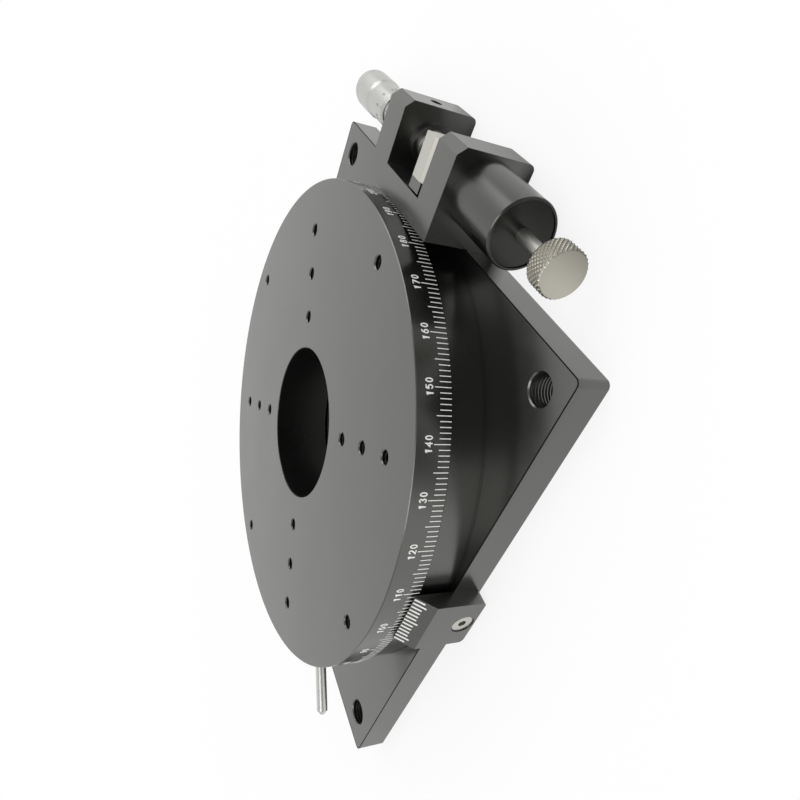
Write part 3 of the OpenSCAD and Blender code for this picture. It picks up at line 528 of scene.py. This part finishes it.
# The base's upper edge has a hair-thin dull black band: painted shade, standing in for the dark
# reflection of a fine chamfer there. It starts and stops at the bracket.
BRACKET_HALF = 20.5
ARRIS = ((0.02, 0.02), (-0.2, 0.02), (-0.2, -0.15), (0.02, -0.15))  # out and up from the edge
QUARTERS = ((1, 1), (-1, 1), (-1, -1), (1, -1))
corner_at = BASE_HALF - BASE_ROUND
path = [(BASE_HALF, BRACKET_HALF, 1.0, 0.0)]
for quarter, (cx, cy) in enumerate(QUARTERS):
    for i in range(7):
        a = math.radians(90 * quarter + 15 * i)
        nx, ny = math.cos(a), math.sin(a)
        path.append((cx * corner_at + BASE_ROUND * nx, cy * corner_at + BASE_ROUND * ny, nx, ny))
path.append((BASE_HALF, -BRACKET_HALF, 1.0, 0.0))
bm = bmesh.new()
loft(bm, [verts(bm, [((x + out * nx) * MM, (y + out * ny) * MM, (BASE_TOP + up) * MM)
                     for out, up in ARRIS]) for x, y, nx, ny in path])
piece_from(bm, "base_edge_painted_shade", "base", "arris")


# ---------------------------------------------------------------- knurled knob

KNOB_R = 5.4
KNOB_Y0 = -55.0
KNOB_Y1 = -50.0
KNOB_CHAMFER = 0.4
KNOB_HOLE_R = 1.52
KNOB_HOLE_Y = -52.52
KNURL_TEETH = 32
KNURL_DEPTH = 0.36


def drive_point(r, a, y):
    """A point at radius r and angle a round the drive axis; a = 0 points along +Z."""
    return ((DRIVE_X + r * math.sin(a)) * MM, y * MM, (DRIVE_Z + r * math.cos(a)) * MM)


def drive_ring(bm, r, y, sides):
    return verts(bm, [drive_point(r, a, y) for a in circle(sides)])


def fan(bm, ring, y):
    """Faces from a ring to a point on the drive axis."""
    tip = bm.verts.new(drive_point(0, 0, y))
    for a, b in zip(ring, ring[1:] + ring[:1]):
        bm.faces.new((a, b, tip))


def knurled_knob():
    """A knob with a diamond knurl cut into its rim. Its rows and columns follow the diamonds."""
    bm = bmesh.new()
    cols = KNURL_TEETH * 4
    cell = 2 * math.pi * KNOB_R / KNURL_TEETH
    length = KNOB_Y1 - KNOB_Y0 - 2 * KNOB_CHAMFER
    count = round(length / (cell / 4))
    rings = [drive_ring(bm, KNOB_R - KNOB_CHAMFER, KNOB_Y0, cols)]
    for j in range(count + 1):
        y = KNOB_Y0 + KNOB_CHAMFER + length * j / count
        across = 2 * math.pi * (y - KNOB_Y0) / cell
        points = []
        for a in circle(cols):
            round_ = a * KNURL_TEETH
            low = min(abs(math.sin((round_ + across) / 2)), abs(math.sin((round_ - across) / 2)))
            points.append(drive_point(KNOB_R - KNURL_DEPTH * (1 - low) ** 1.5, a, y))
        rings.append(verts(bm, points))
    rings.append(drive_ring(bm, KNOB_R - KNOB_CHAMFER, KNOB_Y1, cols))
    rings.append(drive_ring(bm, KNOB_HOLE_R, KNOB_Y1, cols))
    rings.append(drive_ring(bm, KNOB_HOLE_R, KNOB_HOLE_Y, cols))
    for a, b in zip(rings, rings[1:]):
        wall(bm, a, b)
    fan(bm, rings[-1], KNOB_HOLE_Y)
    face = [rings[0]] + [drive_ring(bm, r, KNOB_Y0, cols)
                         for r in (KNOB_R - KNOB_CHAMFER - 0.5, 0.45 * KNOB_R, 0.2 * KNOB_R)]
    for a, b in zip(face, face[1:]):
        wall(bm, a, b)
    fan(bm, face[-1], KNOB_Y0)
    # The knurled band's faces have the second material, with its painted shade in the grooves.
    edge = (KNOB_Y0 + KNOB_CHAMFER / 2) * MM, (KNOB_Y1 - KNOB_CHAMFER / 2) * MM
    for f in bm.faces:
        mid = f.calc_center_median()
        far = math.hypot(mid.x - DRIVE_X * MM, mid.z - DRIVE_Z * MM)
        if edge[0] < mid.y < edge[1] and far > 0.7 * KNOB_R * MM:
            f.material_index = 1
    return bm


knob = piece_from(knurled_knob(), "knob_knurled", "plunger", "knob")
knob.data.materials.append(MATS["knurl"])
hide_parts("plunger_knob")


# ---------------------------------------------------------------- micrometer

CONE_R = 4.65
BARREL_R = 5.1
CONE_L = 3.0
GRIP_R = 5.5
SWELL_Y = 44.8
SWELL_L = 1.6
GRIP_END = 53.9
FAR_IN = 51.0  # the end of the shell's bore
BORE_R = 4.35
SPINDLE_R = 1.6
DOME_FOOT = 53.95
DOME_Y = 54.9
DOME_L = 4.1
DOME_POWER = 0.85
AXIS_R = 0.01


def lathe(bm, loop, sides=128):
    """A closed profile of (radius, y) points turned round the drive axis."""
    loft(bm, [drive_ring(bm, r, y, sides) for r, y in loop], closed=True)


# The thimble: a graduated cone, a barrel that swells softly into the grip, and a dome.
swell = [(5.3 - 0.2 * math.cos(math.pi * k / 8), SWELL_Y + SWELL_L * k / 8) for k in range(9)]
bm = bmesh.new()
lathe(bm, [(CONE_R, THIMBLE_Y), (BARREL_R, THIMBLE_Y + CONE_L), *swell, (GRIP_R, GRIP_END),
           (SPINDLE_R, GRIP_END), (SPINDLE_R, FAR_IN), (BORE_R, FAR_IN), (BORE_R, THIMBLE_Y)])
thimble = piece_from(bm, "thimble_shell", "thimble", "chrome", smooth=True)
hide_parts("micrometer_thimble")
dome = [(GRIP_R * math.cos(a) ** DOME_POWER, DOME_Y + DOME_L * math.sin(a) ** DOME_POWER)
        for a in (math.radians(90 * k / 17) for k in range(17))]
bm = bmesh.new()
lathe(bm, [(AXIS_R, DOME_FOOT), (GRIP_R, DOME_FOOT), *dome, (AXIS_R, DOME_Y + DOME_L)])
thimble_dome = piece_from(bm, "thimble_dome", "thimble", "chrome", smooth=True)
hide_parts("thimble_cap")

# The bush that guides the pin fills the gap round it in the cap.
bm = bmesh.new()
lathe(bm, [(1.54, -38.43), (1.87, -38.43), (1.87, -37.0), (1.54, -37.0)], 64)
piece_from(bm, "pin_bush", "base", "cap_face", smooth=True)

# ---------------------------------------------------------------- micrometer marks

MARK_HALF = 0.05
THIMBLE_LINES = 50
THIMBLE_NUMBER = (3.2, 1.1, 0.13)  # lower edge, height and stroke width
SLEEVE_R = 4.3
SLEEVE_Y = 20.0
SLEEVE_LINES = 23
SLEEVE_STEP = 0.5


def on_drive(radius, y_from):
    """u is millimetres round, v along +Y from y_from, d the depth, round the drive axis.
    The radius is a function of v."""
    def place(u, v, d):
        return drive_point(radius(v) - SINK + d, u / radius(0), y_from + v)
    return place


thimble_cone = on_drive(lambda v: CONE_R + (BARREL_R - CONE_R) * min(1, v / CONE_L), THIMBLE_Y)
thimble_barrel = on_drive(lambda v: BARREL_R, THIMBLE_Y)
bm = bmesh.new()
for i in range(THIMBLE_LINES):
    u = 2 * math.pi * CONE_R * i / THIMBLE_LINES
    reach = 1.9 if i % 5 == 0 else 1.2
    slab(bm, ((u - MARK_HALF, 0.08), (u + MARK_HALF, reach)), thimble_cone, DEPTH)
for i in range(0, THIMBLE_LINES, 5):
    u = 2 * math.pi * BARREL_R * i / THIMBLE_LINES
    number(bm, str(i), u, *THIMBLE_NUMBER, thimble_barrel, DEPTH)
piece_from(bm, "thimble_marks", "thimble", "dark_fill")

sleeve = on_drive(lambda v: SLEEVE_R, SLEEVE_Y)
bm = bmesh.new()
slab(bm, ((-0.06, 1.8), (0.06, 29.0)), sleeve, DEPTH)
for i in range(SLEEVE_LINES):
    y = THIMBLE_Y - SLEEVE_Y + i * SLEEVE_STEP
    side = 1 if i % 2 == 0 else -1
    lo, hi = sorted((side * 0.12, side * (1.7 if i % 10 == 0 else 1.2)))
    slab(bm, ((lo, y - MARK_HALF), (hi, y + MARK_HALF)), sleeve, DEPTH, 3)
piece_from(bm, "sleeve_marks", "base", "dark_fill")

# ---------------------------------------------------------------- floor

FLOOR_HALF = 6.0
NEAR, FAR = 0.09, 0.4  # the floor turns white to the camera over these distances, in metres
GLOSS_SHARE = 0.85  # how white the floor is to glossy rays
SHADE_WAY = (0.71, -0.71, 0.0)  # towards the base's corner at +X, -Y, where glossy rays see painted shade on the floor
SHADE_SHARE = 0.9

bm = bmesh.new()
bmesh.ops.create_grid(bm, x_segments=1, y_segments=1, size=FLOOR_HALF)
mesh = bpy.data.meshes.new("floor")
bm.to_mesh(mesh)
bm.free()
floor = add_object("floor", mesh)
floor_mat, tree, bsdf = new_material("pale_floor")
bsdf.inputs["Base Color"].default_value = (0.94, 0.94, 0.94, 1)
bsdf.inputs["Roughness"].default_value = 0.9
bsdf.inputs["Specular IOR Level"].default_value = 0.1
white = add(tree, "ShaderNodeEmission")
white.inputs["Color"].default_value = (1, 1, 1, 1)
rays = add(tree, "ShaderNodeLightPath").outputs
where = object_coords(tree)
away = vector_calc(tree, "LENGTH", where, out="Value")
at = add(tree, "ShaderNodeSeparateXYZ")
tree.links.new(where, at.inputs[0])
size = add(tree, "ShaderNodeSeparateXYZ")
tree.links.new(vector_calc(tree, "ABSOLUTE", where), size.inputs[0])

# Painted shade: a wedge of the floor beyond the base's near corner is dimmed for glossy rays,
# standing in for the floor's shadow there as the part's faces reflect it.
heading = vector_calc(tree, "DOT_PRODUCT", vector_calc(tree, "NORMALIZE", where), SHADE_WAY,
                      out="Value")
shade_wedge = remap(tree, heading, 0.0, SHADE_SHARE, 0.88, 0.97)
beyond = remap(tree, calc(tree, "MAXIMUM", size.outputs["X"], size.outputs["Y"]),
               0.0, 1.0, 0.076, 0.090)
lit = calc(tree, "SUBTRACT", 1.0, calc(tree, "MULTIPLY", shade_wedge, beyond))
strength = calc(tree, "MAXIMUM", rays["Is Camera Ray"], lit)
tree.links.new(strength, white.inputs["Strength"])

# Under the aperture the floor keeps its shadow for the camera and for glossy rays, and between
# the bracket's arms for glossy rays.
under_bore = remap(tree, away, 1.0, 0.0, 0.035, 0.045)
between_arms = calc(tree, "MULTIPLY", remap(tree, at.outputs["X"], 0.0, 1.0, 0.066, 0.070),
                    remap(tree, size.outputs["Y"], 1.0, 0.0, 0.021, 0.026))
shaded = calc(tree, "MAXIMUM", between_arms, under_bore)
fade = calc(tree, "MULTIPLY", remap(tree, away, 0.82, 1.0, NEAR, FAR),
            remap(tree, under_bore, 1.0, 0.0))
to_camera = calc(tree, "MULTIPLY", rays["Is Camera Ray"], fade)
to_gloss = calc(tree, "MULTIPLY", rays["Is Glossy Ray"],
                remap(tree, shaded, GLOSS_SHARE, 0.0))
blend = add(tree, "ShaderNodeMixShader")
tree.links.new(calc(tree, "MAXIMUM", to_camera, to_gloss), blend.inputs[0])
tree.links.new(bsdf.outputs[0], blend.inputs[1])
tree.links.new(white.outputs[0], blend.inputs[2])
tree.links.new(blend.outputs[0], tree.nodes["Material Output"].inputs["Surface"])
mesh.materials.append(floor_mat)

# ---------------------------------------------------------------- studio and lamps

# The studio is white, and dims towards the side where the camera stands.
BRIGHT_WAY = (-0.6, 0.8, 0.0)
world = bpy.data.worlds.new("studio")
bpy.context.scene.world = world
world.use_nodes = True
tree = world.node_tree
back = tree.nodes["Background"]
heading = vector_calc(tree, "DOT_PRODUCT", add(tree, "ShaderNodeTexCoord").outputs["Generated"],
                      BRIGHT_WAY, out="Value")
studio = remap(tree, heading, 0.35, 1.0, -0.8, 0.5)
seen = calc(tree, "MAXIMUM", add(tree, "ShaderNodeLightPath").outputs["Is Camera Ray"], studio)
back.inputs["Color"].default_value = (1, 1, 1, 1)
tree.links.new(seen, back.inputs["Strength"])

LAMP_AIM = Vector((0, 0, 0.01))


def area_light(name, place, size, power):
    data = bpy.data.lights.new(name, "AREA")
    data.size = size
    data.energy = power
    obj = add_object(name, data)
    obj.location = place
    obj.rotation_mode = "QUATERNION"
    obj.rotation_quaternion = (LAMP_AIM - Vector(place)).to_track_quat("-Z", "Y")


area_light("key", (0.9, 0.6, 0.8), 1.0, 5.0)
area_light("front", (0.1, -1.05, 0.95), 0.8, 5.5)

# ---------------------------------------------------------------- camera

IMAGE_PX = 800
FOCAL_PX = 660.78
CENTRE_PX = (404.16, 427.12)
SENSOR = 36.0
RIGHT = Vector((0.33023548, -0.34925094, -0.87690838))
DOWN = Vector((-0.75637706, -0.65367686, -0.02450117))
AHEAD = Vector((-0.56465766, 0.67136454, -0.48003269))
STAND = Vector((121.284, -145.087, 93.96))

cam_data = bpy.data.cameras.new("camera")
cam = add_object("camera", cam_data)
bpy.context.scene.camera = cam
cam_data.sensor_width = SENSOR
cam_data.lens = FOCAL_PX / IMAGE_PX * SENSOR
cam_data.shift_x = (IMAGE_PX / 2 - CENTRE_PX[0]) / IMAGE_PX
cam_data.shift_y = (CENTRE_PX[1] - IMAGE_PX / 2) / IMAGE_PX
turn = Matrix((RIGHT, -DOWN, -AHEAD)).transposed().to_4x4()
cam.matrix_world = Matrix.Translation(STAND * MM) @ turn
cam_data.clip_start = 0.01
cam_data.clip_end = 20.0

bpy.context.scene.view_settings.view_transform = "Standard"
